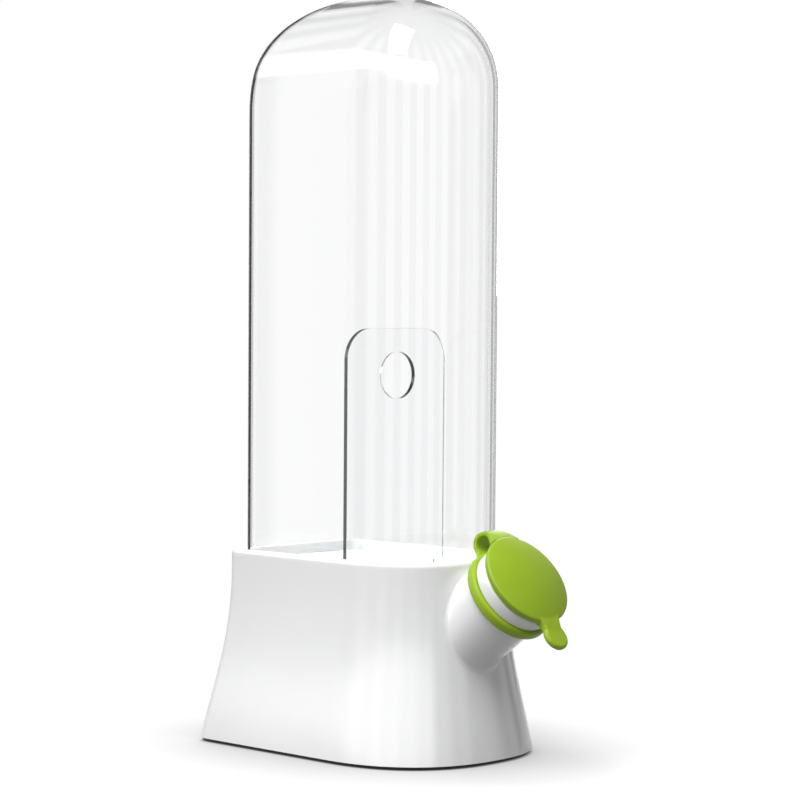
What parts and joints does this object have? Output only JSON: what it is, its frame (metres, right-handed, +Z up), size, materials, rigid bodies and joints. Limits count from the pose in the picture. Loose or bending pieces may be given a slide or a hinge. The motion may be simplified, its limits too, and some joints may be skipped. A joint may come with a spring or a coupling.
{
  "type": "herb keeper",
  "caption": "Tall herb keeper: clear vaulted dome and lift-out stem tray on a flared white water base with a slanted filler spout and a hinged green silicone stopper.",
  "frame": {"origin": "on the standing face of the foot pad, under the middle of the base", "axes": "+Z up, -Y towards the filler spout, +X across the width"},
  "size_m": [0.0906, 0.1498, 0.288],
  "materials": {
    "white_gloss": "glossy moulded white plastic",
    "clear_plastic": "clear polished plastic",
    "green_silicone": "soft satin lime-green silicone",
    "black_rubber": "matte black non-slip rubber",
    "pale_rubber": "pale translucent silicone seal"
  },
  "bodies": {
    "base": {"base_shell": "white_gloss", "bottom_plate": "white_gloss", "bottom_gasket": "pale_rubber", "foot_pad": "black_rubber", "filler_spout": "white_gloss", "dome_seal": "pale_rubber", "stopper_collar": "green_silicone", "stopper_hinge": "green_silicone"},
    "dome": {"dome_cover": "clear_plastic"},
    "tray": {"stem_tray": "white_gloss", "stem_divider": "clear_plastic"},
    "stopper": {"stopper_cap": "green_silicone"}
  },
  "joints": [
    {"name": "dome_lift", "type": "slide", "parent": "base", "child": "dome", "axis": [0, 0, 1], "range_m": [0, 0.17]},
    {"name": "tray_lift", "type": "slide", "parent": "base", "child": "tray", "axis": [0, 0, 1], "range_m": [0, 0.085]},
    {"name": "stopper_open", "type": "hinge", "parent": "base", "child": "stopper", "pos_m": [0, -0.05827, 0.08443], "axis": [-1, 0, 0], "range_deg": [0, 120], "deforming": ["stopper_hinge"]}
  ]
}
